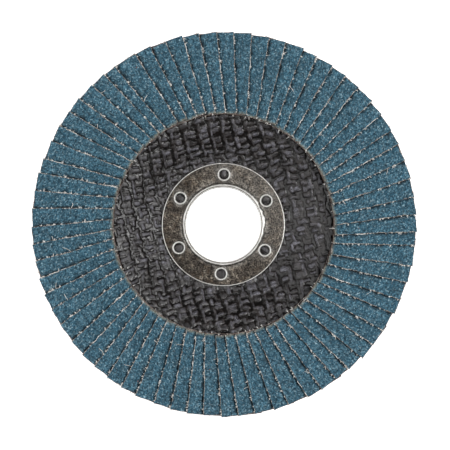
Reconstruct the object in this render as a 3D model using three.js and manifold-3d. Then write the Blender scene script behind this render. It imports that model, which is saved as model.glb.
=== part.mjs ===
// Abrasive flap disc for an angle grinder, 115 mm across with a 22.23 mm bore.
// Millimetres, +Z up. The origin is the centre of the bore on the rear clamping face,
// and +Z points from the grinder's side to the working side.
import * as THREE from 'three';
import { mergeVertices } from 'three/addons/utils/BufferGeometryUtils.js';
import Module from 'manifold-3d';

const wasm = await Module();
wasm.setup();

// Driving dimensions.
const DISC_DIAMETER = 115;
const BORE_DIAMETER = 22.23;
const TURN_SEGMENTS = 72; // facets round every turned piece
const BOND_GAP = 0.05; // glue line between pieces that are stacked on one another

// Centre bush: a flanged steel tube, rolled over at the front.
const BUSH_WALL = 0.6;
const FLANGE_RADIUS = 18.4;
const FLANGE_THICKNESS = 0.8;
const LIP_RADIUS = 12.3;
const LIP_THICKNESS = 0.4;
const EDGE_ROUND = 0.2;

// Front ring: a steel washer with six punched holes, each with a raised burr.
const RING_THICKNESS = 0.8;
const BUSH_CLEARANCE = 0.2;
const HOLE_COUNT = 6;
const HOLE_RADIUS = 1.4;
const HOLE_CIRCLE_RADIUS = 14.9;
const HOLE_PHASE_DEG = 28.3;
const BURR_RADIUS = 2.0;
const BURR_HEIGHT = 0.35;
const CRIMP_SEAT_RADIUS = 12.5; // the lip sinks the ring a little inside this radius
const CRIMP_SEAT_DEPTH = 0.1;
const HOLE_SEGMENTS = 16;

// Backing plate: three plies of glass cloth in resin, with a raised hub (type 27).
const PLY_NAMES = ['rear_glass_ply', 'core_glass_ply', 'front_glass_ply'];
const PLY_THICKNESS = 0.85;
const PLATE_RADIUS = 54;
const HUB_FLAT_RADIUS = 19.5;
const RIM_FLAT_RADIUS = 32.5;
const HUB_DEPTH = 4.0;

// Adhesive bed between the plate and the flaps. It thickens towards the rim.
const BED_INNER_RADIUS = 33.6;
const BED_OUTER_RADIUS = 53.4;
const BED_INNER_THICKNESS = 0.5;
const BED_OUTER_THICKNESS = 1.3;

// Abrasive cloth flaps, laid like shingles. Each lies on the one behind it.
const FLAP_COUNT = 69;
const FLAPS_PER_TRIO = 3;
const FLAP_PHASE_DEG = 2.5;
const FLAP_THICKNESS = 1.0;
const FLAP_WIDTH = 12.5;
const FLAP_INNER_X = 32.7;
const FLAP_END_SKEW = 0.4; // the outer end is cut this much shorter at the root
const EDGE_OFFSET = 4.7; // the free edge's line passes this far from the axis
const PACK_TOP = 14.2;
const SLOPE_INNER_DEG = 24;
const SLOPE_OUTER_DEG = 17.5;
const FLAP_STEPS_ALONG = 3;
const FLAP_STEPS_ACROSS = 2;

// Glue bridge that joins the roots of the three flaps of a trio.
const BRIDGE_INNER_RADIUS = 34.2;
const BRIDGE_OUTER_RADIUS = 38.2;
const BRIDGE_HEIGHT = 0.7;

const boreRadius = BORE_DIAMETER / 2;
const tubeRadius = boreRadius + BUSH_WALL;
const clearRadius = tubeRadius + BUSH_CLEARANCE;
const plateBottom = FLANGE_THICKNESS + BOND_GAP;
const plyPitch = PLY_THICKNESS + BOND_GAP;
const ringBottom = plateBottom + PLY_NAMES.length * plyPitch;
const ringTop = ringBottom + RING_THICKNESS;
const bedBottom = ringBottom + HUB_DEPTH;
const crimpSeat = ringTop - CRIMP_SEAT_DEPTH;
const flapPitchDeg = 360 / FLAP_COUNT;
const flapOuterX = Math.sqrt((DISC_DIAMETER / 2) ** 2 - EDGE_OFFSET ** 2);

const steel = { color: 0x6b6660, roughness: 0.5, metalness: 0.9 };
const bushSteel = { color: 0xb4b0aa, roughness: 0.35, metalness: 0.95 };
const glassCloth = { color: 0x464548, roughness: 0.6, metalness: 0 };
const resin = { color: 0x5a4630, roughness: 0.5, metalness: 0 };
const abrasive = { color: 0x496473, roughness: 0.9, metalness: 0 };

function radians(degrees) {
  return degrees * Math.PI / 180;
}

// Keeps only positions and merges equal vertices, so that the mesh is closed.
function weld(geometry) {
  geometry.deleteAttribute('normal');
  geometry.deleteAttribute('uv');
  return mergeVertices(geometry, 1e-4);
}

// A ring turned from a closed outline of [radius, z] points, listed anticlockwise.
function turned(outline) {
  const points = [...outline, outline[0]].map(([r, z]) => new THREE.Vector2(r, z));
  const geometry = new THREE.LatheGeometry(points, TURN_SEGMENTS);
  geometry.rotateX(Math.PI / 2);
  return weld(geometry);
}

function toSolid(geometry) {
  const vertProperties = new Float32Array(geometry.attributes.position.array);
  const triVerts = new Uint32Array(geometry.index.array);
  return new wasm.Manifold(new wasm.Mesh({ numProp: 3, vertProperties, triVerts }));
}

function fromSolid(solid) {
  const { vertProperties, triVerts, numProp } = solid.getMesh();
  const geometry = new THREE.BufferGeometry();
  geometry.setAttribute('position', new THREE.BufferAttribute(vertProperties, numProp));
  geometry.setIndex(new THREE.BufferAttribute(triVerts, 1));
  geometry.computeVertexNormals();
  return geometry;
}

function piece(name, geometry, look) {
  const mesh = new THREE.Mesh(geometry, new THREE.MeshStandardMaterial(look));
  mesh.name = name;
  return mesh;
}

function centreBush() {
  const lipBottom = crimpSeat + BOND_GAP;
  const lipTop = lipBottom + LIP_THICKNESS;
  const e = EDGE_ROUND;
  return turned([
    [boreRadius, e],
    [boreRadius + e, 0],
    [FLANGE_RADIUS - e, 0],
    [FLANGE_RADIUS, e],
    [FLANGE_RADIUS, FLANGE_THICKNESS],
    [tubeRadius, FLANGE_THICKNESS],
    [tubeRadius, lipBottom],
    [LIP_RADIUS, lipBottom],
    [LIP_RADIUS - e, lipTop],
    [boreRadius + e, lipTop],
    [boreRadius, lipTop - e],
  ]);
}

function frontRing() {
  const e = EDGE_ROUND;
  let ring = toSolid(turned([
    [clearRadius, ringBottom],
    [FLANGE_RADIUS, ringBottom],
    [FLANGE_RADIUS, ringTop - e],
    [FLANGE_RADIUS - e, ringTop],
    [CRIMP_SEAT_RADIUS, ringTop],
    [CRIMP_SEAT_RADIUS, crimpSeat],
    [clearRadius, crimpSeat],
  ]));
  const middle = (ringBottom + ringTop) / 2;
  for (let i = 0; i < HOLE_COUNT; i += 1) {
    const angle = radians(HOLE_PHASE_DEG + i * 360 / HOLE_COUNT);
    const x = HOLE_CIRCLE_RADIUS * Math.cos(angle);
    const y = HOLE_CIRCLE_RADIUS * Math.sin(angle);
    const burrTop = ringTop + BURR_HEIGHT;
    const burr = post(BURR_RADIUS - BURR_HEIGHT / 2, BURR_RADIUS, middle, burrTop, x, y);
    const hole = post(HOLE_RADIUS, HOLE_RADIUS, ringBottom - 1, burrTop + 1, x, y);
    ring = ring.add(burr).subtract(hole);
  }
  return fromSolid(ring);
}

// An upright round post from z0 to z1 at x, y, with its own radius at each end.
function post(topRadius, bottomRadius, z0, z1, x, y) {
  const geometry = new THREE.CylinderGeometry(topRadius, bottomRadius, z1 - z0, HOLE_SEGMENTS);
  geometry.rotateX(Math.PI / 2);
  geometry.translate(x, y, (z0 + z1) / 2);
  return toSolid(weld(geometry));
}

function glassPly(index) {
  const low = plateBottom + index * plyPitch;
  const high = low + PLY_THICKNESS;
  return turned([
    [clearRadius, low],
    [HUB_FLAT_RADIUS, low],
    [RIM_FLAT_RADIUS, low + HUB_DEPTH],
    [PLATE_RADIUS, low + HUB_DEPTH],
    [PLATE_RADIUS, high + HUB_DEPTH],
    [RIM_FLAT_RADIUS, high + HUB_DEPTH],
    [HUB_FLAT_RADIUS, high],
    [clearRadius, high],
  ]);
}

function adhesiveBed() {
  return turned([
    [BED_INNER_RADIUS, bedBottom],
    [BED_OUTER_RADIUS, bedBottom],
    [BED_OUTER_RADIUS, bedBottom + BED_OUTER_THICKNESS],
    [BED_INNER_RADIUS, bedBottom + BED_INNER_THICKNESS],
  ]);
}

// One flap: a flat strip, sloped down from its free edge to its root and twisted along
// its length, so that the pack stays flat on top while the pitch widens with radius.
// u and v run from 0 to 1 along the flap and across it, and h is the height in the strip.
function flapPoint(u, v, h) {
  const slope = radians(THREE.MathUtils.lerp(SLOPE_INNER_DEG, SLOPE_OUTER_DEG, u));
  const x = THREE.MathUtils.lerp(FLAP_INNER_X, flapOuterX - v * FLAP_END_SKEW, u);
  const down = v * FLAP_WIDTH;
  const y = -EDGE_OFFSET + down * Math.cos(slope) + h * Math.sin(slope);
  const z = PACK_TOP + (h - FLAP_THICKNESS / 2) * Math.cos(slope) - down * Math.sin(slope);
  return new THREE.Vector3(x, y, z);
}

function flapStrip() {
  const strip = new THREE.BoxGeometry(1, 1, FLAP_THICKNESS, FLAP_STEPS_ALONG, FLAP_STEPS_ACROSS, 1);
  const place = strip.attributes.position;
  for (let i = 0; i < place.count; i += 1) {
    const at = flapPoint(place.getX(i) + 0.5, place.getY(i) + 0.5, place.getZ(i));
    place.setXYZ(i, at.x, at.y, at.z);
  }
  return weld(strip);
}

// The bridge runs under the flaps, from the first flap's root to the third's.
function rootBridge() {
  const root = flapPoint(0.1, 1, 0);
  const firstAngle = Math.atan2(root.y, root.x);
  const lastAngle = firstAngle + radians(flapPitchDeg) * (FLAPS_PER_TRIO - 1);
  const outline = new THREE.Shape();
  outline.absarc(0, 0, BRIDGE_OUTER_RADIUS, firstAngle, lastAngle, false);
  outline.absarc(0, 0, BRIDGE_INNER_RADIUS, lastAngle, firstAngle, true);
  const bridge = new THREE.ExtrudeGeometry(outline, {
    depth: BRIDGE_HEIGHT,
    bevelEnabled: false,
    curveSegments: 4,
  });
  bridge.translate(0, 0, root.z - BRIDGE_HEIGHT / 2);
  return weld(bridge);
}

function flapTrio() {
  let trio = toSolid(rootBridge());
  for (let i = 0; i < FLAPS_PER_TRIO; i += 1) {
    const flap = flapStrip();
    flap.rotateZ(radians(i * flapPitchDeg));
    trio = trio.add(toSolid(flap));
  }
  return fromSolid(trio);
}

const disc = new THREE.Group();
disc.add(piece('centre_bush', centreBush(), bushSteel));
disc.add(piece('front_ring', frontRing(), steel));
PLY_NAMES.forEach((name, index) => disc.add(piece(name, glassPly(index), glassCloth)));
disc.add(piece('adhesive_bed', adhesiveBed(), resin));

const flaps = new THREE.Group();
flaps.rotation.z = radians(FLAP_PHASE_DEG);
const trioCount = FLAP_COUNT / FLAPS_PER_TRIO;
for (let i = 0; i < trioCount; i += 1) {
  const number = String(i + 1).padStart(2, '0');
  const trio = piece(`flap_trio_${number}`, flapTrio(), abrasive);
  trio.rotation.z = i * 2 * Math.PI / trioCount;
  flaps.add(trio);
}
disc.add(flaps);

export default disc;
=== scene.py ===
"""Looks for an abrasive flap disc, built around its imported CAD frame. Lengths are in
millimetres until a mesh is made, and angles are anticlockwise as seen from the working side."""
import math

import bpy
import numpy as np
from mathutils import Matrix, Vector
from mathutils.geometry import delaunay_2d_cdt


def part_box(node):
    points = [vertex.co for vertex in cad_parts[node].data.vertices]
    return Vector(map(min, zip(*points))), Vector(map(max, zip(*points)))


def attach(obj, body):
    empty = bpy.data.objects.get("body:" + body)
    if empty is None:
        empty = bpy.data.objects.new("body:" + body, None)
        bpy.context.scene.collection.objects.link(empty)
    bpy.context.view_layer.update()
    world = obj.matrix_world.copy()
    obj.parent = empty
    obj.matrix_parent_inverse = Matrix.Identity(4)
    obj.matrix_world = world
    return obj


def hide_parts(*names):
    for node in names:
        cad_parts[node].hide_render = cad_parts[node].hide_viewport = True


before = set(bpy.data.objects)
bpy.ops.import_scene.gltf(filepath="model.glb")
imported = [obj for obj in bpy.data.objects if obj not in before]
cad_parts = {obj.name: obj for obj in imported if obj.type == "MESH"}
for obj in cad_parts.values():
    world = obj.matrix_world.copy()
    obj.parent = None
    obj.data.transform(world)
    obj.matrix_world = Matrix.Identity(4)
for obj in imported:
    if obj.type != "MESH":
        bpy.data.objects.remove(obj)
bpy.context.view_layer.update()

MM = 0.001
BODY = "root"


def cad_span(node):
    """A CAD node's lowest z, highest z and largest radius, in millimetres."""
    low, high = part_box(node)
    return low.z / MM, high.z / MM, high.x / MM


# ---------------------------------------------------------------- sizes
_, BUSH_HIGH, FLANGE_RADIUS = cad_span("centre_bush")
RING_LOW, BURR_HIGH, RING_RADIUS = cad_span("front_ring")
REAR_LOW, _, PLATE_RADIUS = cad_span("rear_glass_ply")
CORE_LOW, _, _ = cad_span("core_glass_ply")
FRONT_LOW, _, _ = cad_span("front_glass_ply")
BED_LOW, BED_HIGH, BED_RADIUS = cad_span("adhesive_bed")
PACK_TOP = cad_span("flap_trio_01")[1]

BORE_RADIUS = 11.115
TUBE_RADIUS = 11.7
LIP_RADIUS = 12.3
RING_HOLE_RADIUS = 11.9
CRIMP_SEAT_RADIUS = 12.5
RING_TOP = RING_LOW + 0.8
RING_ROUND = 0.24
FLANGE_THICKNESS = 0.8

PUNCHED_HOLES = 6
PUNCHED_RADIUS = 1.4
PUNCHED_CIRCLE = 14.85
PUNCHED_SHIFT = (-0.25, 0.1)
PUNCHED_PHASE = math.radians(28.3)
BURR_RADIUS = 2.0
BURR_HEIGHT = BURR_HIGH - RING_TOP
HARD_CRIMP = math.radians(22)
PAINTED_LIGHT_SIDE = math.radians(35)

HUB_FLAT_RADIUS = 19.5
RIM_FLAT_RADIUS = 32.5
HUB_DEPTH = 4.0
PLY_THICKNESS = 0.85
BED_INNER_RADIUS = 33.6

FLAPS = 69
FLAPS_PER_TRIO = 3
PITCH = 2 * math.pi / FLAPS
FLAP_PHASE = math.radians(2.85)
FLAP_INNER_X = 32.7
FLAP_LENGTH = 24.47
TRIM_SHIFT = 0.15
FLAP_WIDTH = 12.6
FLAP_HALF = 0.5
FLAP_SKEW = 0.4
EDGE_OFFSET = 4.8
SLOPE_INNER = math.radians(24)
SLOPE_OUTER = math.radians(17.5)
CLOTH_THICKNESS = 0.7
GRAIN_LAYER = 0.34
GRAIN_SIZE = 0.52
TURN_JITTER = math.radians(0.28)
SKEW_JITTER = math.radians(0.2)
LENGTH_JITTER = 0.12
HEIGHT_JITTER = 0.05
YARN_SPACING = 0.93
DARK_END_SPAN = 0.25
TUFTS = 12
FIBRES_PER_TUFT = 5
FLAP_SEED = 400


# ---------------------------------------------------------------- noise
def lattice(i, j, seed):
    """A repeatable number from 0 to 1 for each pair of whole numbers."""
    n = (i * 374761393 + j * 668265263 + seed * 974711) & 0xFFFFFFFF
    n = ((n ^ (n >> 13)) * 1274126177) & 0xFFFFFFFF
    return ((n ^ (n >> 16)) & 0xFFFF) / 65535.0


def noise(x, y, cell, seed=0):
    """Smooth noise from -1 to 1 that changes over about one cell."""
    gx, gy = np.broadcast_arrays(np.asarray(x) / cell, np.asarray(y) / cell)
    i, j = np.floor(gx).astype(np.int64), np.floor(gy).astype(np.int64)
    fx, fy = gx - i, gy - j
    fx, fy = fx * fx * (3 - 2 * fx), fy * fy * (3 - 2 * fy)
    low = lattice(i, j, seed) * (1 - fx) + lattice(i + 1, j, seed) * fx
    high = lattice(i, j + 1, seed) * (1 - fx) + lattice(i + 1, j + 1, seed) * fx
    return 2 * (low * (1 - fy) + high * fy) - 1


def ease(x, low, high):
    """0 below low, 1 above high, and a smooth step between."""
    t = np.clip((x - low) / (high - low), 0, 1)
    return t * t * (3 - 2 * t)


# ---------------------------------------------------------------- meshes
class Shell:
    """Collects the points, faces and point values of one piece."""

    def __init__(self):
        self.points, self.faces, self.looks, self.values = [], [], [], {}
        self.count = 0

    def add(self, points, faces, **values):
        """faces: pairs of an array of point numbers, one face to a row, and its look's number,
        or one look for each face. values: one number or vector for each point."""
        for rows, look in faces:
            self.faces.append(rows + self.count)
            self.looks.append(np.broadcast_to(look, len(rows)))
        self.points.append(points)
        for name, value in values.items():
            self.values.setdefault(name, []).append(value)
        self.count += len(points)

    def build(self, name, nodes, looks):
        """Makes the piece, which rides on the disc and stands for the CAD nodes."""
        mesh = bpy.data.meshes.new(name)
        points = np.concatenate(self.points) * MM
        _, first, same = np.unique(np.round(points * 1e7).astype(np.int64), axis=0,
                                   return_index=True, return_inverse=True)
        same = same.ravel()
        corners = np.concatenate([same[rows.ravel()] for rows in self.faces])
        sizes = np.concatenate([np.full(len(rows), rows.shape[1]) for rows in self.faces])
        mesh.vertices.add(len(first))
        mesh.vertices.foreach_set("co", points[first].astype(np.float32).ravel())
        mesh.loops.add(len(corners))
        mesh.loops.foreach_set("vertex_index", corners.astype(np.int32))
        mesh.polygons.add(len(sizes))
        starts = np.concatenate([[0], np.cumsum(sizes)[:-1]])
        mesh.polygons.foreach_set("loop_start", starts.astype(np.int32))
        mesh.polygons.foreach_set("material_index", np.concatenate(self.looks).astype(np.int32))
        mesh.update(calc_edges=True)
        for value_name, parts in self.values.items():
            value = np.concatenate(parts)[first].astype(np.float32)
            kind, key = ("FLOAT_VECTOR", "vector") if value.ndim == 2 else ("FLOAT", "value")
            mesh.attributes.new(value_name, kind, "POINT").data.foreach_set(key, value.ravel())
        mesh.shade_smooth()
        for look in looks:
            mesh.materials.append(look)
        piece = bpy.data.objects.new(name, mesh)
        bpy.context.scene.collection.objects.link(piece)
        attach(piece, BODY)
        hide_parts(*nodes)
        return piece


def grid_faces(rows, columns, wrap_rows=False, wrap_columns=False):
    """Quads of a grid whose points are numbered row by row."""
    r = np.arange(rows if wrap_rows else rows - 1)
    c = np.arange(columns if wrap_columns else columns - 1)
    r, c = (g.ravel() for g in np.meshgrid(r, c, indexing="ij"))
    r2, c2 = (r + 1) % rows, (c + 1) % columns
    return np.stack([r * columns + c, r * columns + c2, r2 * columns + c2, r2 * columns + c], 1)


def polar(radius, angle, z):
    """Points from polar coordinates, in a flat list."""
    radius, angle, z = np.broadcast_arrays(radius, angle, z)
    return np.stack([radius * np.cos(angle), radius * np.sin(angle), z], -1).reshape(-1, 3)


def around(segments, phase=0.0):
    return phase + np.arange(segments) * 2 * math.pi / segments


# ---------------------------------------------------------------- materials
def srgb(red, green, blue):
    """A colour as seen on a screen, 0 to 255, in the linear values that a shader takes."""
    def linear(c):
        c /= 255
        return c / 12.92 if c <= 0.04045 else ((c + 0.055) / 1.055) ** 2.4
    return (linear(red), linear(green), linear(blue), 1.0)


class Look:
    """A procedural material. Most of its methods add nodes and return an output socket."""

    def __init__(self, name, metallic=0.0, specular=0.5):
        self.material = bpy.data.materials.new(name)
        self.material.use_nodes = True
        self.tree = self.material.node_tree
        self.shader = self.tree.nodes["Principled BSDF"]
        self.shader.inputs["Metallic"].default_value = metallic
        self.shader.inputs["Specular IOR Level"].default_value = specular

    def put(self, socket, value):
        if isinstance(value, bpy.types.NodeSocket):
            self.tree.links.new(value, socket)
        else:
            socket.default_value = value

    def node(self, kind, inputs, out=0, **settings):
        made = self.tree.nodes.new(kind)
        for key, value in settings.items():
            setattr(made, key, value)
        for key, value in inputs.items():
            self.put(made.inputs[key], value)
        return made.outputs[out]

    def value(self, name, out="Fac"):
        return self.node("ShaderNodeAttribute", {}, out, attribute_name=name)

    def place(self):
        """The point's place on the object, in millimetres."""
        at = self.node("ShaderNodeTexCoord", {}, "Object")
        return self.node("ShaderNodeVectorMath", {0: at, "Scale": 1 / MM}, operation="SCALE")

    def noise(self, where, scale, detail=2.0, rough=0.5, warp=0.0):
        return self.node("ShaderNodeTexNoise", {
            "Vector": where, "Scale": scale, "Detail": detail, "Roughness": rough,
            "Distortion": warp})

    def cells(self, where, scale, out="Color"):
        return self.node("ShaderNodeTexVoronoi", {"Vector": where, "Scale": scale}, out)

    def stretch(self, where, x, y, z):
        return self.node("ShaderNodeVectorMath", {0: where, 1: (x, y, z)}, operation="MULTIPLY")

    def turn(self, where, angle):
        return self.node("ShaderNodeVectorRotate", {"Vector": where, "Angle": angle},
                         rotation_type="Z_AXIS")

    def part(self, vector, axis):
        return self.node("ShaderNodeSeparateXYZ", {0: vector}, axis)

    def math(self, operation, a, b):
        return self.node("ShaderNodeMath", {0: a, 1: b}, operation=operation)

    def ramp(self, fac, *stops):
        """stops: (place, colour or grey value)."""
        made = self.tree.nodes.new("ShaderNodeValToRGB")
        elements = made.color_ramp.elements
        while len(elements) < len(stops):
            elements.new(0.5)
        for element, (at, colour) in zip(elements, stops):
            element.position = at
            element.color = colour if isinstance(colour, tuple) else (colour,) * 3 + (1,)
        self.tree.links.new(fac, made.inputs[0])
        return made.outputs[0]

    def mix(self, fac, a, b, blend="MIX"):
        made = self.tree.nodes.new("ShaderNodeMix")
        made.data_type, made.blend_type = "RGBA", blend
        self.put(made.inputs[0], fac)
        self.put(made.inputs[6], a)
        self.put(made.inputs[7], b)
        return made.outputs[2]

    def shade(self, colour, fac, low, high, dark, light):
        """Darkens and lightens a colour as fac goes from low to high."""
        return self.mix(1.0, colour, self.ramp(fac, (low, dark), (high, light)), "MULTIPLY")

    def finish(self, colour, roughness, *bumps):
        """bumps: (height socket, depth in millimetres) pairs, coarse ones first."""
        self.put(self.shader.inputs["Base Color"], colour)
        self.put(self.shader.inputs["Roughness"], roughness)
        normal = self.shader.inputs["Normal"]
        for height, depth in reversed(bumps):
            made = self.tree.nodes.new("ShaderNodeBump")
            made.inputs["Distance"].default_value = depth * MM
            self.put(made.inputs["Height"], height)
            self.tree.links.new(made.outputs[0], normal)
            normal = made.inputs["Normal"]
        return self.material


def zirconia_look():
    """Blue crushed grain in resin, with painted shade in the pits and a painted highlight on the
    crests.
    """
    look = Look("zirconia_grain", specular=0.4)
    strip = look.value("strip", "Vector")
    crystal = look.cells(strip, 2.8)
    colour = look.ramp(crystal, (0.0, srgb(20, 62, 82)), (0.4, srgb(52, 96, 116)),
                       (0.75, srgb(90, 134, 153)), (1.0, srgb(166, 194, 205)))
    # Painted shade and highlight: the grain's colour darkens where it lies low and lightens on the
    # crests.
    pit_shade_and_highlight = look.ramp(look.value("rise"), (0.0, 0.4), (0.35, 0.74), (0.7, 1.0), (1.0, 1.2))
    colour = look.mix(1.0, colour, pit_shade_and_highlight, "MULTIPLY")
    colour = look.shade(colour, look.noise(strip, 0.16, 2), 0.3, 0.7, 0.9, 1.08)
    colour = look.shade(colour, look.noise(strip, 0.55, 3), 0.35, 0.65, 0.86, 1.14)
    crushed = look.math("MULTIPLY", look.ramp(look.part(strip, 0), (0.25, 0.75), (1.0, 0.0)),
                        look.ramp(look.noise(strip, 1.6, 3, 0.7), (0.4, 0.25), (0.55, 1.0)))
    colour = look.mix(crushed, colour, srgb(150, 146, 126))
    # Painted shade in the corner under the next flap's cut edge.
    colour = look.mix(look.value("corner"), colour, srgb(10, 24, 32))
    specks = look.ramp(look.noise(strip, 0.9, 3, 0.6), (0.735, 0.0), (0.76, 1.0))
    colour = look.mix(specks, colour, srgb(138, 84, 66))
    roughness = look.ramp(crystal, (0.0, 0.8), (1.0, 0.42))
    return look.finish(colour, roughness, (look.cells(strip, 3.1, "Distance"), 0.16),
                       (look.noise(strip, 9, 3, 0.7), 0.05))


def cut_edge_look():
    """The sheared edge of the cloth: tan and grey resin with white yarns, darker brown at the two
    ends, as painted shade at the inner end.
    """
    look = Look("cut_edge", specular=0.3)
    strip = look.value("strip", "Vector")
    tan = look.ramp(look.noise(strip, 2.4, 3, 0.7), (0.36, srgb(46, 45, 46)),
                    (0.43, srgb(124, 84, 68)), (0.48, srgb(124, 121, 115)),
                    (0.66, srgb(176, 173, 167)))
    yarn = look.ramp(look.noise(strip, 1.9, 3, 0.6), (0.52, 0.0), (0.6, 1.0))
    colour = look.mix(yarn, tan, srgb(230, 228, 222))
    # Darker brown towards both ends; at the inner end this is painted shade.
    outer = look.math("SUBTRACT", look.part(strip, 0), FLAP_LENGTH - DARK_END_SPAN)
    ends = look.math("ADD", look.ramp(outer, (0.0, 0.0), (0.2, 0.75)),
                     look.ramp(look.part(strip, 0), (0.0, 0.7), (DARK_END_SPAN, 0.0)))
    colour = look.mix(ends, colour, srgb(108, 78, 66))
    roughness = look.ramp(look.noise(strip, 3), (0.3, 0.75), (0.7, 0.95))
    return look.finish(colour, roughness, (look.noise(strip, 5, 3, 0.7), 0.09))


def cloth_back_look():
    """The uncoated back of the flap: a twill cloth filled with brown resin."""
    look = Look("cloth_back", specular=0.3)
    strip = look.value("strip", "Vector")
    twill = look.node("ShaderNodeTexWave", {"Vector": look.turn(strip, math.radians(38)),
                                            "Scale": 0.75, "Distortion": 1.4, "Detail": 2.0})
    colour = look.ramp(twill, (0.1, srgb(92, 62, 44)), (0.6, srgb(148, 112, 86)),
                       (1.0, srgb(176, 144, 118)))
    colour = look.shade(colour, look.noise(strip, 0.3, 3), 0.3, 0.7, 0.8, 1.1)
    roughness = look.ramp(twill, (0.0, 0.9), (1.0, 0.7))
    return look.finish(colour, roughness, (twill, 0.08), (look.noise(strip, 6, 3), 0.04))


def fibre_look():
    """Loose white polyester fibres."""
    look = Look("loose_fibre", specular=0.3)
    strip = look.value("strip", "Vector")
    colour = look.ramp(look.noise(strip, 2.2, 2), (0.3, srgb(186, 178, 168)),
                       (0.45, srgb(236, 234, 229)), (0.7, srgb(252, 251, 248)))
    roughness = look.ramp(look.noise(strip, 6), (0.3, 0.8), (0.7, 0.95))
    return look.finish(colour, roughness, (look.noise(strip, 14, 2), 0.02))


def glass_cloth_look():
    """Black phenolic resin over woven glass yarns, grey and less glossy on the crests, with black
    pits deepened by painted shade, a little dust, and a painted shadow at the foot of the flaps."""
    look = Look("resin_glass_cloth", specular=0.42)
    at = look.place()
    straight = look.turn(at, -WEAVE_TURN)
    along = look.noise(look.stretch(straight, 0.5, 2.2, 1), 1, 3, 0.7, 0.2)
    across = look.noise(look.stretch(straight, 2.2, 0.5, 1), 1, 3, 0.7, 0.2)
    strands = look.mix(look.value("lay"), along, across)
    # Darker where the weave lies lower: black resin in the hollows, deepened there as painted shade.
    colour = look.ramp(look.value("rise"), (0.0, srgb(5, 3, 2)), (0.3, srgb(20, 15, 13)),
                       (0.5, srgb(49, 45, 44)), (0.75, srgb(74, 72, 76)), (1.0, srgb(99, 98, 105)))
    colour = look.shade(colour, strands, 0.38, 0.62, 0.32, 1.75)
    grit = look.noise(at, 3.2, 3, 0.7)
    colour = look.shade(colour, grit, 0.38, 0.62, 0.45, 1.45)
    dust = look.ramp(look.noise(at, 1.4, 4, 0.7), (0.66, 0.0), (0.74, 0.35))
    colour = look.mix(dust, colour, srgb(96, 78, 64))
    # Painted shade: near-black spots standing for deep holes in the open weave, which the mesh does
    # not have.
    patches = look.noise(look.stretch(straight, 1.2, 0.8, 1), 1.5, 3, 0.7)
    pits = look.ramp(patches, (0.36, 1.0), (0.43, 0.0))
    colour = look.mix(pits, colour, srgb(16, 10, 8))
    # Painted shadow: near-black at the foot of the flaps, mostly on one side, where their inner wall
    # shades the web.
    colour = look.mix(look.math("MULTIPLY", look.value("smear"), 0.85), colour, srgb(10, 8, 7))
    roughness = look.ramp(look.value("rise"), (0.25, 0.22), (0.8, 0.44))
    return look.finish(colour, roughness, (strands, 0.08), (grit, 0.03))


def mottled_steel_look():
    """Dull zinc plate with blotches, fine flecks and faint brown stains, bright where it is rubbed,
    and lighter towards one side as painted light.
    """
    look = Look("mottled_steel", metallic=0.75, specular=0.4)
    at = look.place()
    blotch = look.noise(at, 0.55, 5, 0.7)
    fleck = look.noise(at, 2.1, 3, 0.7)
    colour = look.ramp(blotch, (0.36, srgb(46, 41, 36)), (0.46, srgb(69, 63, 57)),
                       (0.56, srgb(91, 84, 75)), (0.72, srgb(153, 145, 134)))
    colour = look.shade(colour, fleck, 0.43, 0.58, 0.26, 2.4)
    colour = look.shade(colour, look.noise(at, 0.17, 2), 0.35, 0.65, 0.36, 0.62)
    stain = look.ramp(look.noise(at, 0.6, 4, 0.7, 0.5), (0.52, 0.0), (0.66, 0.3))
    colour = look.mix(stain, colour, srgb(98, 80, 62))
    # Rubbed wear beside the lip and burrs, plus painted light that grows towards one side.
    rubbed = look.math("MULTIPLY", look.value("rub"), look.ramp(fleck, (0.35, 0.1), (0.6, 1.0)))
    colour = look.mix(rubbed, colour, srgb(214, 210, 203))
    roughness = look.ramp(fleck, (0.3, 0.62), (0.7, 0.42))
    return look.finish(colour, roughness, (blotch, 0.07), (fleck, 0.08))


def worn_steel_highlight_look():
    """Bare, rubbed steel on rims, burrs and the rolled lip, painted pale as a highlight on their
    rounded crests.
    """
    look = Look("worn_steel_highlight", metallic=0.3)
    at = look.place()
    wear = look.noise(at, 1.8, 4, 0.65)
    # Near-white colour: worn steel, made paler still as a painted highlight.
    colour = look.ramp(wear, (0.28, srgb(206, 202, 195)), (0.5, srgb(242, 240, 235)),
                       (0.8, srgb(253, 252, 250)))
    roughness = look.ramp(wear, (0.3, 0.46), (0.7, 0.32))
    return look.finish(colour, roughness, (wear, 0.04), (look.noise(at, 9, 2), 0.01))


def stained_steel_look():
    """The inside of the bore: steel with a brown film of cured resin."""
    look = Look("stained_steel", metallic=0.4, specular=0.3)
    at = look.place()
    film = look.noise(at, 0.9, 4, 0.65)
    colour = look.ramp(film, (0.3, srgb(40, 33, 27)), (0.5, srgb(70, 59, 49)),
                       (0.75, srgb(110, 99, 88)))
    roughness = look.ramp(film, (0.3, 0.7), (0.7, 0.5))
    return look.finish(colour, roughness, (film, 0.04), (look.noise(at, 6, 2), 0.02))


def adhesive_look():
    """Cured dark epoxy with a few bubbles."""
    look = Look("cured_epoxy", specular=0.6)
    at = look.place()
    colour = look.ramp(look.noise(at, 0.4, 3), (0.3, srgb(38, 30, 25)), (0.7, srgb(84, 64, 48)))
    roughness = look.ramp(look.noise(at, 1.2, 3), (0.3, 0.25), (0.7, 0.5))
    bubbles = look.ramp(look.cells(at, 1.1, "Distance"), (0.1, 0.0), (0.3, 1.0))
    return look.finish(colour, roughness, (bubbles, 0.06), (look.noise(at, 2.5, 3), 0.06))


# ---------------------------------------------------------------- glass cloth plies
WEAVE_TURN = math.radians(14)
WEAVE_PITCH = 1.9
WEAVE_RELIEF = 0.42
PAIR_PULL = 0.11
FURROW_HALF = 0.16
FURROW_DEPTH = 0.62
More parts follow.
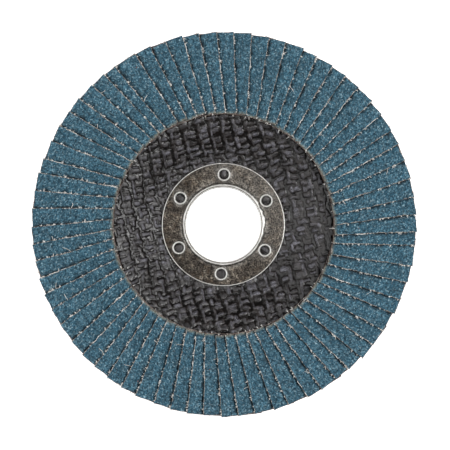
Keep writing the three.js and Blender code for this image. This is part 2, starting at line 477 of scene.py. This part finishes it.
# Where the painted shadow at the foot of the flaps falls: the side it favours, then the radii where it
# begins and where it is full.
SHADOW_SIDE = math.radians(-4)
SHADOW_START, SHADOW_FULL = 30.6, 32.2
PLY_SEGMENTS = 760
FRONT_STEP, FRONT_SEEN_RADIUS = 0.2, 34.6
REAR_STEP = 0.36
HIDDEN_MARGIN = 0.8
PLY_SEEDS = (11, 23, 37)


def yarn_position(along, seed):
    """Counts yarns along a line. They are a little unevenly spaced, as in pressed cloth."""
    drift = 0.06 * np.sin(along / 1.13 + seed) + 0.3 * np.sin(along / 3.9 + 2.1 * seed)
    return (along + drift) / WEAVE_PITCH


def weave(x, y, seed):
    """A weave under resin: its height from 0 to 1, and 1 where the warp is on top. Where a yarn
    is on top it stands up as a blunt bar, and resin fills the hollows between the bars. The warp
    yarns lie in pairs with a furrow between the pairs, and each weft starts over or under them
    by chance."""
    c, s = math.cos(WEAVE_TURN), math.sin(WEAVE_TURN)
    x, y = x * c + y * s, y * c - x * s
    x, y = (x + 0.5 * noise(x, y, 6.5, seed) + 0.16 * noise(x, y, 1.7, seed + 1),
            y + 0.7 * noise(x, y, 5.5, seed + 2) + 0.25 * noise(x, y, 1.7, seed + 3))
    x, y = x + 0.1 * noise(x, y, 0.6, seed + 12), y + 0.14 * noise(x, y, 0.6, seed + 13)
    gx, gy = yarn_position(x, seed), yarn_position(y, seed + 1.7)
    i, j = np.floor(gx).astype(np.int64), np.floor(gy).astype(np.int64)
    height = 0.2 + 0.2 * noise(x, y, 1.3, seed + 4) + 0.16 * noise(x, y, 0.5, seed + 5)
    lay = np.zeros_like(height)
    for a, b in ((i + di, j + dj) for di in (-1, 0, 1) for dj in (-1, 0, 1)):
        pull = np.where(a % 2 == 0, -PAIR_PULL, PAIR_PULL)
        dx = gx - a - 0.5 - pull - 0.14 * (lattice(a, b, seed + 6) - 0.5)
        dy = gy - b - 0.5 - 0.5 * (lattice(a, b, seed + 7) - 0.5)
        warp = (a + (lattice(0 * b, b, seed + 14) > 0.5)) % 2 == 0
        length = np.where(warp, 0.46, 0.52) + 0.26 * lattice(a, b, seed + 8)
        width = np.where(warp, 0.18, 0.22) + np.where(warp, 0.18, 0.26) * lattice(a, b, seed + 9)
        along = np.abs(np.where(warp, dy, dx)) / length
        across = np.abs(np.where(warp, dx, dy)) / width
        crest = 0.5 + 0.5 * lattice(a, b, seed + 10)
        bar = crest * np.clip(1 - along ** 3 - across ** 3, 0, 1) ** 0.4
        lay = np.where(bar > height, warp, lay)
        height = np.maximum(height, bar)
    furrow = np.clip(1.1 - np.abs(gx % 2 - 1) / FURROW_HALF, 0, 1)
    return np.clip(height * (1 - FURROW_DEPTH * furrow), 0, 1), lay


def plate_rise(radius):
    """How far a ply has climbed from its hub to its rim, with eased bends."""
    bend = np.clip((radius - HUB_FLAT_RADIUS) / (RIM_FLAT_RADIUS - HUB_FLAT_RADIUS), 0, 1)
    return HUB_DEPTH * (bend - 0.04 * np.sin(2 * math.pi * bend))


def ply_radii(fine, first=0.0, last=0.0):
    """Radii across one face of a ply, at a fine step from first to last if it is in view."""
    radii = np.array([RING_HOLE_RADIUS, 15, 18, HUB_FLAT_RADIUS, 21, 23, 26, 29, 31,
                      RIM_FLAT_RADIUS, 36, 45, PLATE_RADIUS])
    if not fine:
        return radii
    kept = radii[(radii < first - fine / 2) | (radii > last + fine / 2)]
    return np.sort(np.concatenate([kept, np.arange(first, last, fine)]))


def glass_ply(name, node, low, top_radii, bottom_radii, look, seed):
    """One ply, a closed turned ring. A face with fine radii carries the weave, and a painted shadow
    darkens the outer part of its front, mostly on one side."""
    counts = [len(bottom_radii), len(top_radii)]
    radius = np.concatenate([bottom_radii, top_radii[::-1]])
    side = np.repeat([-1.0, 1.0], counts)[:, None]
    woven = np.repeat([n > len(ply_radii(0)) for n in counts], counts)[:, None]
    r, angle = np.meshgrid(radius, around(PLY_SEGMENTS), indexing="ij")
    x, y = r * np.cos(angle), r * np.sin(angle)
    rise, lay = weave(x, y, seed)
    inside = ease(r, RING_HOLE_RADIUS, RING_HOLE_RADIUS + 1) * ease(PLATE_RADIUS - r, 0, 1)
    relief = WEAVE_RELIEF * (rise - 1) * woven * inside
    z = low + plate_rise(r) + np.where(side > 0, PLY_THICKNESS, 0) + side * relief
    at_rim = r > PLATE_RADIUS - 0.01
    ragged = at_rim * (0.2 * noise(angle * PLATE_RADIUS, side * 9, 0.9, seed) - 0.18)
    # Painted shadow of the flaps' inner wall on the outer part of the front, strongest on one side.
    smear = ease(r + 0.5 * noise(x, y, 1.6, seed + 20), SHADOW_START, SHADOW_FULL)
    smear = smear * (0.25 + 0.75 * ease(np.cos(angle - SHADOW_SIDE), 0.45, 0.95)) * (side > 0)
    shell = Shell()
    shell.add(polar(r + ragged, angle, z),
              [(grid_faces(len(radius), PLY_SEGMENTS, True, True), 0)],
              rise=rise.ravel(), lay=lay.ravel(), smear=smear.ravel())
    return shell.build(name, [node], [look])


def build_plies():
    look = glass_cloth_look()
    plain = ply_radii(0)
    in_view = ply_radii(FRONT_STEP, RING_RADIUS - HIDDEN_MARGIN, FRONT_SEEN_RADIUS)
    behind = ply_radii(REAR_STEP, FLANGE_RADIUS - HIDDEN_MARGIN, PLATE_RADIUS - 0.3)
    front, core, rear = PLY_SEEDS
    glass_ply("front_cloth", "front_glass_ply", FRONT_LOW, in_view, plain, look, front)
    glass_ply("core_cloth", "core_glass_ply", CORE_LOW, plain, plain, look, core)
    glass_ply("rear_cloth", "rear_glass_ply", REAR_LOW, plain, behind, look, rear)


# ---------------------------------------------------------------- steel centre
# BRIGHT is the slot of worn steel that is painted pale as a highlight on the crests.
DULL, BRIGHT, STAINED = range(3)
BUSH_SEGMENTS = 192
BUSH_EDGE = 0.2
RING_SEGMENTS, HOLE_SEGMENTS = 180, 40
RING_SEED = 5


def centre_bush(dull, bright):
    """Flanged tube, flared and rolled over the ring. The lip is ragged where the crimp was hard."""
    edge = BUSH_EDGE
    top = BUSH_HIGH
    angle = around(BUSH_SEGMENTS)
    x, y = 11 * np.cos(angle), 11 * np.sin(angle)
    hard = ease(np.cos(angle - HARD_CRIMP), 0.6, 0.9)

    def fixed(r, z):
        return polar(r, angle, z)

    def crimped(r, z, wobble, seed, spread):
        ragged = noise(x, y, 1.6, seed) + 0.8 * noise(x, y, 0.5, seed + 1)
        push = (0.25 + 0.72 * hard) * wobble * ragged
        return polar(r + push + spread * hard, angle, z + 0.4 * push)

    tube = [fixed(BORE_RADIUS, edge), fixed(BORE_RADIUS + edge, 0), fixed(FLANGE_RADIUS - edge, 0),
            fixed(FLANGE_RADIUS, edge), fixed(FLANGE_RADIUS, FLANGE_THICKNESS - 0.1),
            fixed(FLANGE_RADIUS - 0.1, FLANGE_THICKNESS), fixed(TUBE_RADIUS, FLANGE_THICKNESS),
            fixed(TUBE_RADIUS, RING_TOP - 0.05)]
    lip = [crimped(LIP_RADIUS + 0.2, RING_TOP - 0.03, 0.1, 3, 0.1),
           crimped(LIP_RADIUS - 0.1, RING_TOP + 0.02, 0.18, 3, 0.16),
           crimped(LIP_RADIUS - 0.28, RING_TOP + 0.1, 0.3, 3, 0.22),
           crimped(LIP_RADIUS - 0.38, top - 0.08, 0.26, 3, 0.2),
           crimped(LIP_RADIUS - 0.5, top, 0.12, 5, 0.12),
           crimped(LIP_RADIUS - 0.6, top - 0.05, 0.06, 7, 0.04),
           crimped(LIP_RADIUS - 0.68, top - 0.16, 0.03, 7, 0)]
    mouth = [fixed(BORE_RADIUS + 0.38, top - 0.22), fixed(BORE_RADIUS + 0.28, top - 0.26),
             fixed(BORE_RADIUS + 0.2, top - 0.18), fixed(BORE_RADIUS + 0.06, top - 0.18),
             fixed(BORE_RADIUS, top - 0.34), fixed(BORE_RADIUS, top - 2.4)]
    rows = tube + lip + mouth
    looks = [DULL] * 10 + [BRIGHT] * 4 + [STAINED] * 2 + [BRIGHT] * 2 + [STAINED] * 3
    rub = [0.0] * len(tube) + [0.05, 0.3, 0.7] + [1.0] * (len(rows) - len(tube) - 3)
    faces = grid_faces(len(rows), BUSH_SEGMENTS, True, True)
    shell = Shell()
    shell.add(np.concatenate(rows), [(faces, np.repeat(looks, BUSH_SEGMENTS))],
              rub=np.repeat(rub, BUSH_SEGMENTS))
    return shell.build("flanged_bush", ["centre_bush"],
                       [dull, bright, stained_steel_look()])


def circle(radius, segments, centre=(0.0, 0.0), phase=0.0):
    angle = around(segments, phase)
    return np.stack([centre[0] + radius * np.cos(angle), centre[1] + radius * np.sin(angle)], 1)


def disc_with_holes(outer, inner, holes, spacing, rng):
    """A flat round plate with round holes, as points and triangles that keep the given circles."""
    loops = [outer, inner] + holes
    starts = np.cumsum([0] + [len(loop) for loop in loops])
    edges = [(int(start + k), int(start + (k + 1) % len(loop)))
             for start, loop in zip(starts, loops) for k in range(len(loop))]
    reach = np.linalg.norm(outer[0])
    openings = [(hole.mean(0), np.linalg.norm(hole[0] - hole.mean(0)), len(hole))
                for hole in [inner] + holes]

    def clear(points, margin):
        """True where points are outside every opening by a margin."""
        return np.all([np.linalg.norm(points - middle, axis=1) > radius + margin(radius, turns)
                       for middle, radius, turns in openings], 0)

    line = np.arange(-reach, reach, spacing)
    grid = np.stack([g.ravel() for g in np.meshgrid(line, line)], 1)
    grid += rng.uniform(-0.3, 0.3, grid.shape) * spacing
    within = np.linalg.norm(grid, axis=1) < reach - 0.6 * spacing
    grid = grid[within & clear(grid, lambda radius, turns: 0.4 * spacing)]
    flat = np.concatenate(loops + [grid])
    triangles = np.array(delaunay_2d_cdt([Vector(p) for p in flat], edges, [], 0, 1e-6)[2])
    middles = flat[triangles].mean(1)
    kept = clear(middles, lambda radius, turns: -radius * (1 - math.cos(math.pi / turns)))
    return flat, triangles[kept]


def rubbed(x, y, centres):
    """How much a point of the ring's face is made bright: rubbed most beside the lip and the burrs,
    plus painted light that grows towards one side of the ring."""
    near = np.exp(-np.abs(np.hypot(x, y) - LIP_RADIUS) / 0.5)
    for number, (cx, cy) in enumerate(centres):
        gap = np.maximum(np.hypot(x - cx, y - cy) - BURR_RADIUS, 0)
        near = np.maximum(near, (0.45 + 0.5 * lattice(number, 1, 9)) * np.exp(-gap / 0.45))
    # Painted light: the face grows lighter towards one side.
    side = 0.12 * (x * math.cos(PAINTED_LIGHT_SIDE) + y * math.sin(PAINTED_LIGHT_SIDE)) / RING_RADIUS
    return np.clip(near * (0.5 + 0.5 * noise(x, y, 1.3, 77)) + side, 0, 1)


def dents(x, y):
    """Small hollows and waves that pressing leaves in the ring's face."""
    return 0.03 * noise(x, y, 2.2, 71) + 0.02 * noise(x, y, 0.7, 72)


def punched_burr(shell, centre, number, turns):
    """The raised, torn edge of one hole, from the ring's face over the crest and down inside."""
    angle = around(turns)
    torn = 1 + 0.25 * noise(2 * np.cos(angle), 2 * np.sin(angle), 0.9, 80 + number)
    profile = ((BURR_RADIUS, 0), (1.94, 0.35), (1.86, 0.8), (1.74, 1.0), (1.62, 0.8),
               (1.53, 0.35), (1.48, 0.0), (1.45, -0.6), (PUNCHED_RADIUS, 0))
    radius = np.array([r for r, _ in profile])[:, None] + 0 * angle
    height = np.array([h * BURR_HEIGHT for _, h in profile])[:, None] * torn
    radius[1:-2] += 0.05 * (torn - 1)
    x = centre[0] + radius * np.cos(angle)
    y = centre[1] + radius * np.sin(angle)
    z = RING_TOP + height
    z[0] = RING_TOP + dents(x[0], y[0])
    z[-1] = RING_LOW
    looks = [DULL] + [BRIGHT] * 6 + [DULL]
    shell.add(np.stack([x, y, z], -1).reshape(-1, 3),
              [(grid_faces(len(profile), turns, False, True), np.repeat(looks, turns))],
              rub=np.repeat(np.array([h > 0 for _, h in profile], float), turns))


def front_ring(dull, bright):
    """Steel washer with a rounded rim and six punched holes that have torn, raised burrs."""
    turns, hole_turns = RING_SEGMENTS, HOLE_SEGMENTS
    rng = np.random.default_rng(RING_SEED)
    shell = Shell()
    centres = circle(PUNCHED_CIRCLE, PUNCHED_HOLES, PUNCHED_SHIFT, PUNCHED_PHASE)
    faces = ((RING_TOP, 1, RING_RADIUS - RING_ROUND, CRIMP_SEAT_RADIUS, BURR_RADIUS, 0.45),
             (RING_LOW, -1, RING_RADIUS - 0.05, RING_HOLE_RADIUS, PUNCHED_RADIUS, 2.0))
    for z, up, outer, inner, hole, spacing in faces:
        holes = [circle(hole, hole_turns, centre) for centre in centres]
        flat, triangles = disc_with_holes(circle(outer, turns), circle(inner, turns), holes,
                                          spacing, rng)
        dent = dents(flat[:, 0], flat[:, 1]) * (up > 0)
        shell.add(np.column_stack([flat, z + dent]), [(triangles[:, ::up], DULL)],
                  rub=rubbed(flat[:, 0], flat[:, 1], centres) * (up > 0))
    angle = around(turns)

    def wall(profile, looks, outward):
        """A turned side of the ring, given from its face down."""
        r, z = (np.array(a)[:, None] + 0 * angle for a in zip(*profile))
        z[0] += dents(r[0] * np.cos(angle), r[0] * np.sin(angle))
        side = grid_faces(len(profile), turns, False, True)
        if outward:
            side = side[:, ::-1]
        shell.add(polar(r, angle, z), [(side, np.repeat(looks, turns))], rub=np.zeros(r.size))

    wall([(RING_RADIUS - r, RING_TOP - z) for r, z in (
        (RING_ROUND, 0), (0.12, 0.03), (0.04, 0.1), (0, 0.22), (0, 0.7), (0.05, 0.8))],
        [BRIGHT] * 3 + [DULL] * 2, True)
    wall([(CRIMP_SEAT_RADIUS, RING_TOP), (CRIMP_SEAT_RADIUS - 0.04, RING_TOP - 0.1),
          (RING_HOLE_RADIUS, RING_TOP - 0.12), (RING_HOLE_RADIUS, RING_LOW)], [DULL] * 3, False)
    for number, centre in enumerate(centres):
        punched_burr(shell, centre, number, hole_turns)
    return shell.build("punched_ring", ["front_ring"], [dull, bright])


def build_centre():
    dull, bright = mottled_steel_look(), worn_steel_highlight_look()
    centre_bush(dull, bright)
    front_ring(dull, bright)


# ---------------------------------------------------------------- adhesive
def adhesive_bed():
    """A lumpy turned bead that thickens towards the rim."""
    segments = 360
    thick_inner, thick_outer = 0.5, BED_HIGH - BED_LOW
    inner, outer = BED_INNER_RADIUS, BED_RADIUS
    profile = [(inner, 0), (38, 0), (44, 0), (50, 0), (outer - 0.3, 0), (outer + 0.15, 0.25),
               (outer + 0.15, 0.75), (outer - 0.3, 1), (50, 1), (44, 1), (38, 1),
               (inner + 0.2, 1), (inner - 0.15, 0.5)]
    radius, share = (np.array(a)[:, None] for a in zip(*profile))
    thick = thick_inner + (thick_outer - thick_inner) * (radius - inner) / (outer - inner)
    angle = around(segments)
    free = (share > 0) & (share < 1)
    swell = 0.12 * noise(radius * np.cos(angle), radius * np.sin(angle), 1.6, 90) * free
    shell = Shell()
    shell.add(polar(radius + swell, angle, BED_LOW + share * thick),
              [(grid_faces(len(profile), segments, True, True), 0)])
    return shell.build("glue_bead", ["adhesive_bed"], [adhesive_look()])


# ---------------------------------------------------------------- flaps
GRAIN, EDGE, BACK, FIBRE = range(4)
ALONG = np.concatenate([[0, 0.12, 0.26], np.arange(0.42, FLAP_LENGTH - 0.4, 0.25),
                        FLAP_LENGTH - np.array([0.26, 0.12, 0])])
TOP_ACROSS = np.concatenate([[0, 0.1, 0.2], np.arange(0.32, 6.4, 0.25),
                             [7.2, 8.8, 10.8, FLAP_WIDTH]])
WALL_HEIGHT = -GRAIN_LAYER - CLOTH_THICKNESS * np.array([1.0, 0.75, 0.5, 0.25])
BOTTOM_ACROSS = np.array([FLAP_WIDTH, 10.0, 7.5, 5.0, 3.4, 2.0, 1.0])


def grain_height(x, y, seed):
    """Crushed grain: each cell holds one blunt, tilted block at its own height and turn."""
    gx, gy = x / GRAIN_SIZE, y / GRAIN_SIZE
    i, j = np.floor(gx).astype(np.int64), np.floor(gy).astype(np.int64)
    height = np.zeros_like(gx)
    for a, b in ((i + di, j + dj) for di in (-1, 0, 1) for dj in (-1, 0, 1)):
        dx = gx - a - 0.5 - 0.8 * (lattice(a, b, seed) - 0.5)
        dy = gy - b - 0.5 - 0.8 * (lattice(a, b, seed + 1) - 0.5)
        turn = 2 * math.pi * lattice(a, b, seed + 2)
        p, q = dx * np.cos(turn) + dy * np.sin(turn), dy * np.cos(turn) - dx * np.sin(turn)
        away = np.maximum(np.abs(p), 0.85 * np.abs(q) + 0.4 * np.abs(p))
        top = 0.4 + 0.6 * lattice(a, b, seed + 3) + 0.8 * p * (lattice(a, b, seed + 4) - 0.5)
        height = np.maximum(height, top - 2.4 * np.maximum(away - 0.3, 0))
    return np.clip(height, 0, 1)


class Flap:
    """One strip of abrasive cloth. Its points are given by s, along the strip from its inner
    end, v, across it from the cut edge, and h, up from the crests of the grain."""

    def __init__(self, index, rng):
        self.turn = FLAP_PHASE + index * PITCH + rng.normal(0, TURN_JITTER)
        self.skew = rng.normal(0, SKEW_JITTER)
        self.reach = rng.normal(0, LENGTH_JITTER)
        self.lift = rng.normal(0, HEIGHT_JITTER) - HEIGHT_JITTER
        self.seed = 1000 + 20 * index
        self.rng = rng

    def edge_line(self, s):
        """How far the cut edge lies from a plane through the axis."""
        wander = 0.09 * noise(s, 0, 7.0, self.seed + 1) + 0.06 * noise(s, 0, 1.4, self.seed + 7)
        return wander - EDGE_OFFSET + (s - FLAP_LENGTH / 2) * self.skew

    def place(self, s, v, h):
        """Points on the disc, in millimetres."""
        s, v, h = np.broadcast_arrays(s, v, h)
        u = s / FLAP_LENGTH
        slope = SLOPE_INNER + (SLOPE_OUTER - SLOPE_INNER) * u
        wave = 0.05 * noise(s, 0.4 * v, 5.0, self.seed)
        wave = wave + 0.1 * noise(s, 0, 2.8, self.seed + 4) * np.exp(-np.maximum(v, 0) / 1.5)
        end = 0.07 * noise(v, 0, 1.6, self.seed + 2)
        trim = self.reach + TRIM_SHIFT * math.cos(self.turn) * u
        x = FLAP_INNER_X + trim + s + end - u * FLAP_SKEW * v / FLAP_WIDTH
        y = self.edge_line(s) + v * np.cos(slope) + (h + FLAP_HALF) * np.sin(slope)
        z = PACK_TOP + self.lift + (h + wave) * np.cos(slope) - v * np.sin(slope)
        c, k = math.cos(self.turn), math.sin(self.turn)
        return np.stack([x * c - y * k, x * k + y * c, z], -1)

    def corner(self, points, cover):
        """Painted shade: how dark a point of this flap is painted for lying in the shaded corner under
        the covering flap's edge.
        """
        c, k = math.cos(cover.turn), math.sin(cover.turn)
        s = points[..., 0] * c + points[..., 1] * k - FLAP_INNER_X
        y = points[..., 1] * c - points[..., 0] * k
        gap = np.maximum(cover.edge_line(s) - 0.05 - y, 0)
        ragged = noise(s, 0, 1.5, self.seed + 12) + 0.5 * noise(s, 0, 0.6, self.seed + 13)
        pocket = ease(ragged, -0.5, 0.6)
        return (0.3 + 0.7 * pocket) * np.exp(-(gap / (0.25 + 0.36 * pocket + 0.004 * s)) ** 2)

    def coated(self, s, v):
        """1 where the cloth still has its grain, 0 along the sheared edges."""
        chip = noise(s, v, 0.8, self.seed + 3)
        edge = 0.03 + 0.07 * chip + 0.16 * ease(chip, 0.5, 0.9)
        return (ease(v, edge, edge + 0.08) * ease(s, edge + 0.06, edge + 0.2)
                * ease(FLAP_LENGTH - s, edge, edge + 0.12))

    def add_to(self, shell, cover):
        """The strip: a loop round its section, carried along its length and capped."""
        walls, tops = len(WALL_HEIGHT), len(TOP_ACROSS)
        across = np.concatenate([0 * WALL_HEIGHT, TOP_ACROSS, BOTTOM_ACROSS])
        v, s = np.meshgrid(across, ALONG, indexing="ij")
        rows, columns = v.shape
        top = slice(walls, walls + tops)
        h = np.full_like(v, -GRAIN_LAYER - CLOTH_THICKNESS)
        rise = np.zeros_like(v)
        coated = self.coated(s, v)
        rise[top] = (grain_height(s, v, self.seed + 5) * coated)[top]
        h[top] = GRAIN_LAYER * (0.1 * coated + 0.9 * rise - 1)[top]
        h[:walls] = WALL_HEIGHT[:, None]
        undercut = 0.24 * (-GRAIN_LAYER - h[:walls]) / CLOTH_THICKNESS
        v[:walls] += undercut + 0.07 * noise(s[:walls], 3 * h[:walls], 0.55, self.seed + 6) - 0.03
        faces = grid_faces(rows, columns, True, False)
        row = np.repeat(np.arange(rows), columns - 1)
        looks = np.where(row < walls, EDGE, np.where(row < walls + tops - 1, GRAIN, BACK))
        looks[(looks == GRAIN) & (coated.reshape(-1)[faces].mean(1) < 0.5)] = EDGE
        upper = np.arange(walls + tops)
        lower = np.arange(rows - 1, walls + tops - 1, -1)
        cap = zipped(upper * columns, lower * columns, across[upper], across[lower])
        points = self.place(s, v, h)
        shell.add(points.reshape(-1, 3),
                  [(faces, looks), (cap, EDGE), (cap[:, ::-1] + columns - 1, EDGE)],
                  strip=np.stack([s, v + 2 * self.seed, h], -1).reshape(-1, 3),
                  rise=rise.ravel(), corner=self.corner(points, cover).ravel())


def zipped(upper, lower, upper_at, lower_at):
    """Triangles between two chains of points, taken in step along the section."""
    rows, i, j = [], 0, 0
    while i < len(upper) - 1 or j < len(lower) - 1:
        if j == len(lower) - 1 or (i < len(upper) - 1 and upper_at[i] < lower_at[j]):
            rows.append((upper[i], upper[i + 1], lower[j]))
            i += 1
        else:
            rows.append((upper[i], lower[j + 1], lower[j]))
            j += 1
    return np.array(rows)


def add_fibres(shell, paths, radius, strip):
    """Closed four-sided tubes along paths of shape (fibre, point, xyz)."""
    count, steps, _ = paths.shape
    ahead = np.gradient(paths, axis=1)
    ahead /= np.linalg.norm(ahead, axis=2, keepdims=True) + 1e-9
    side = np.cross(ahead, (0.3, 0.5, 0.8))
    side /= np.linalg.norm(side, axis=2, keepdims=True) + 1e-9
    up = np.cross(ahead, side)
    taper = np.concatenate([[0.7], np.ones(steps - 2), [0.45]])
    size = (np.reshape(radius, (-1, 1)) * taper)[:, :, None, None]
    corner = np.array([[1, 0], [0, 1], [-1, 0], [0, -1]])
    ring = corner[:, :1] * side[:, :, None] + corner[:, 1:] * up[:, :, None]
    points = (paths[:, :, None] + size * ring).reshape(-1, 3)
    caps = np.array([[3, 2, 1, 0], 4 * (steps - 1) + np.arange(4)])
    one = np.concatenate([grid_faces(steps, 4, False, True), caps])
    faces = (one[None] + 4 * steps * np.arange(count)[:, None, None]).reshape(-1, 4)
    strip = np.repeat(strip[:, None], 4 * steps, 1).reshape(-1, 3)
    shell.add(points, [(faces, FIBRE)], strip=strip, rise=np.ones(len(points)),
              corner=np.zeros(len(points)))


def frayed_edge(shell, flap, tufts, fibres):
    """Tufts of short fibres that stand out of the sheared sides."""
    rng = flap.rng
    count = tufts * fibres
    where = rng.choice(3, tufts, p=(0.82, 0.06, 0.12))
    s = np.choose(where, (rng.uniform(0, FLAP_LENGTH, tufts), np.zeros(tufts), FLAP_LENGTH))
    v = np.where(where == 0, 0, rng.uniform(0, 5.5, tufts))
    h = -GRAIN_LAYER - rng.uniform(-0.1, 0.35, tufts)
    out = np.array([[0, -1], [-1, 0], [1, 0]])[where]
    reach = rng.uniform(0.6, 1.3, tufts)
    s, v, h, out, reach = (np.repeat(a, fibres, 0) for a in (s, v, h, out, reach))
    reach = (reach * rng.uniform(0.15, 0.42, count))[:, None] * np.linspace(-0.25, 1, 4)
    drift, curl = rng.normal(0, 0.5, (2, count, 1)), rng.normal(0, 0.6, (2, count, 1))
    bend = reach * np.linspace(-0.25, 1, 4)
    path_s = s[:, None] + rng.normal(0, 0.07, (count, 1))
    path_s = path_s + reach * (out[:, :1] + drift[0]) + bend * curl[0]
    path_v = v[:, None] + reach * (out[:, 1:] + 0.5 * drift[1]) + bend * curl[1]
    path_h = h[:, None] + rng.normal(0, 0.05, (count, 1))
    path_h = path_h + reach * rng.normal(0.1, 0.35, (count, 1))
    strip = np.stack([s, v + 2 * flap.seed, h], 1)
    add_fibres(shell, flap.place(path_s, path_v, path_h), rng.uniform(0.05, 0.085, count), strip)


def yarn_ends(shell, flap):
    """Blunt ends of the cloth's cross yarns, which stand out of the cut edge in rows."""
    rng = flap.rng
    s = np.arange(0.4, FLAP_LENGTH - 0.3, YARN_SPACING)
    s = s + rng.normal(0, 0.14, len(s))
    bare = noise(s, 3, 4.5, flap.seed + 14) + rng.normal(0, 0.35, len(s))
    s = s[bare > 0.2]
    out = rng.uniform(0.08, 0.34, len(s))
    v = 0.12 - (out + 0.12)[:, None] * np.linspace(0, 1, 4)
    h = (-GRAIN_LAYER - rng.uniform(-0.02, 0.22, len(s)))[:, None] + 0 * v
    along = s[:, None] + rng.normal(0, 0.12, (len(s), 1)) * np.linspace(0, 1, 4)
    strip = np.stack([s, s + 2 * flap.seed, 0 * s], 1)
    thick = 0.06 + 0.24 * rng.uniform(0, 1, len(s)) ** 3
    add_fibres(shell, flap.place(along, v, h), thick, strip)


def loose_yarns(shell, flap, count):
    """Yarns pulled out of the cloth that lie along the cut edge."""
    rng = flap.rng
    start = rng.uniform(0.5, FLAP_LENGTH - 5, count)
    length = rng.uniform(1.0, 3.6, count)
    s = start[:, None] + length[:, None] * np.linspace(0, 1, 12)
    v = 0.16 * noise(s, 0, 0.9, flap.seed + 8) - 0.03
    h = -GRAIN_LAYER + 0.02 + 0.06 * noise(s, 5, 0.8, flap.seed + 9)
    strip = np.stack([start, start + 2 * flap.seed, 0 * start], 1)
    add_fibres(shell, flap.place(s, v, h), rng.uniform(0.06, 0.12, count), strip)


def stray_threads(shell, flap, count):
    """Single threads that hang from the cut edge and lie on the next flap's grain."""
    rng = flap.rng
    start = rng.uniform(2, FLAP_LENGTH - 3, count)[:, None]
    step = np.linspace(0, 1, 9)
    out = rng.uniform(0.8, 2.2, (count, 1)) * step
    s = start + rng.normal(0, 0.5, (count, 1)) * out + 0.25 * noise(out, start, 0.8, flap.seed + 10)
    below = (FLAP_INNER_X + start) * PITCH * math.sin(SLOPE_OUTER)
    h = -0.5 - (below - 0.55) * ease(out, 0, 0.5)
    strip = np.concatenate([start, start + 2 * flap.seed, 0 * start], 1)
    add_fibres(shell, flap.place(s, -out, h), rng.uniform(0.06, 0.1, count), strip)


def build_flaps():
    looks = [zirconia_look(), cut_edge_look(), cloth_back_look(), fibre_look()]
    rng = np.random.default_rng(FLAP_SEED)
    flaps = [Flap(index, rng) for index in range(FLAPS)]
    for trio in range(FLAPS // FLAPS_PER_TRIO):
        shell = Shell()
        for index in range(trio * FLAPS_PER_TRIO, (trio + 1) * FLAPS_PER_TRIO):
            flap = flaps[index]
            flap.add_to(shell, flaps[(index + 1) % FLAPS])
            yarn_ends(shell, flap)
            frayed_edge(shell, flap, TUFTS, FIBRES_PER_TUFT)
            loose_yarns(shell, flap, rng.integers(0, 3))
            stray_threads(shell, flap, rng.integers(0, 5) // 4)
        number = f"{trio + 1:02d}"
        shell.build(f"flaps_{number}", [f"flap_trio_{number}"], looks)


# ---------------------------------------------------------------- studio
FLOOR_HALF = 8.0
FLOOR_GAP = 0.0005
FLOOR_GREY = 0.9


def white_floor():
    half = FLOOR_HALF
    mesh = bpy.data.meshes.new("studio_floor")
    mesh.from_pydata([(-half, -half, 0), (half, -half, 0), (half, half, 0), (-half, half, 0)], [],
                     [(0, 1, 2, 3)])
    look = bpy.data.materials.new("studio_white")
    look.use_nodes = True
    shader = look.node_tree.nodes["Principled BSDF"]
    shader.inputs["Base Color"].default_value = (FLOOR_GREY,) * 3 + (1,)
    shader.inputs["Roughness"].default_value = 0.9
    shader.inputs["Emission Color"].default_value = (1, 1, 1, 1)
    shader.inputs["Emission Strength"].default_value = 1.0
    mesh.materials.append(look)
    floor = bpy.data.objects.new("studio_floor", mesh)
    floor.location.z = -FLOOR_GAP
    bpy.context.scene.collection.objects.link(floor)


def softbox(name, azimuth, elevation, distance, size, power):
    """A square area light that points at the disc. Angles are in degrees and lengths in metres."""
    light = bpy.data.lights.new(name, "AREA")
    light.size = size
    light.energy = power
    lamp = bpy.data.objects.new(name, light)
    azimuth, elevation = math.radians(azimuth), math.radians(elevation)
    towards = Vector((math.cos(azimuth) * math.cos(elevation),
                      math.sin(azimuth) * math.cos(elevation), math.sin(elevation)))
    lamp.location = distance * towards
    lamp.rotation_euler = towards.to_track_quat("Z", "Y").to_euler()
    bpy.context.scene.collection.objects.link(lamp)


def build_studio():
    white_floor()
    world = bpy.data.worlds.new("studio_world")
    world.use_nodes = True
    world.node_tree.nodes["Background"].inputs[0].default_value = (0.95, 0.97, 1.0, 1)
    world.node_tree.nodes["Background"].inputs[1].default_value = 0.11
    bpy.context.scene.world = world
    softbox("right_light", azimuth=5, elevation=66, distance=0.8, size=0.22, power=3.9)
    softbox("left_light", azimuth=178, elevation=56, distance=0.8, size=0.6, power=2.95)
    bpy.context.scene.view_settings.view_transform = "Standard"


CAMERA_ELEVATION = math.radians(89.2)
CAMERA_DISTANCE = 2.4
CAMERA_RANGE = 10
SENSOR_WIDTH = 36
FRAME_WIDTH = 0.13404
AIM = Vector((0.00049, -0.00025, 0.013))


def build_camera():
    data = bpy.data.cameras.new("camera")
    data.sensor_width = SENSOR_WIDTH
    data.lens = SENSOR_WIDTH * CAMERA_DISTANCE / FRAME_WIDTH
    data.clip_end = CAMERA_RANGE
    camera = bpy.data.objects.new("camera", data)
    back = Vector((0, -math.cos(CAMERA_ELEVATION), math.sin(CAMERA_ELEVATION)))
    camera.location = AIM + CAMERA_DISTANCE * back
    camera.rotation_euler = back.to_track_quat("Z", "Y").to_euler()
    bpy.context.scene.collection.objects.link(camera)
    bpy.context.scene.camera = camera


build_plies()
build_centre()
adhesive_bed()
build_flaps()
build_studio()
build_camera()
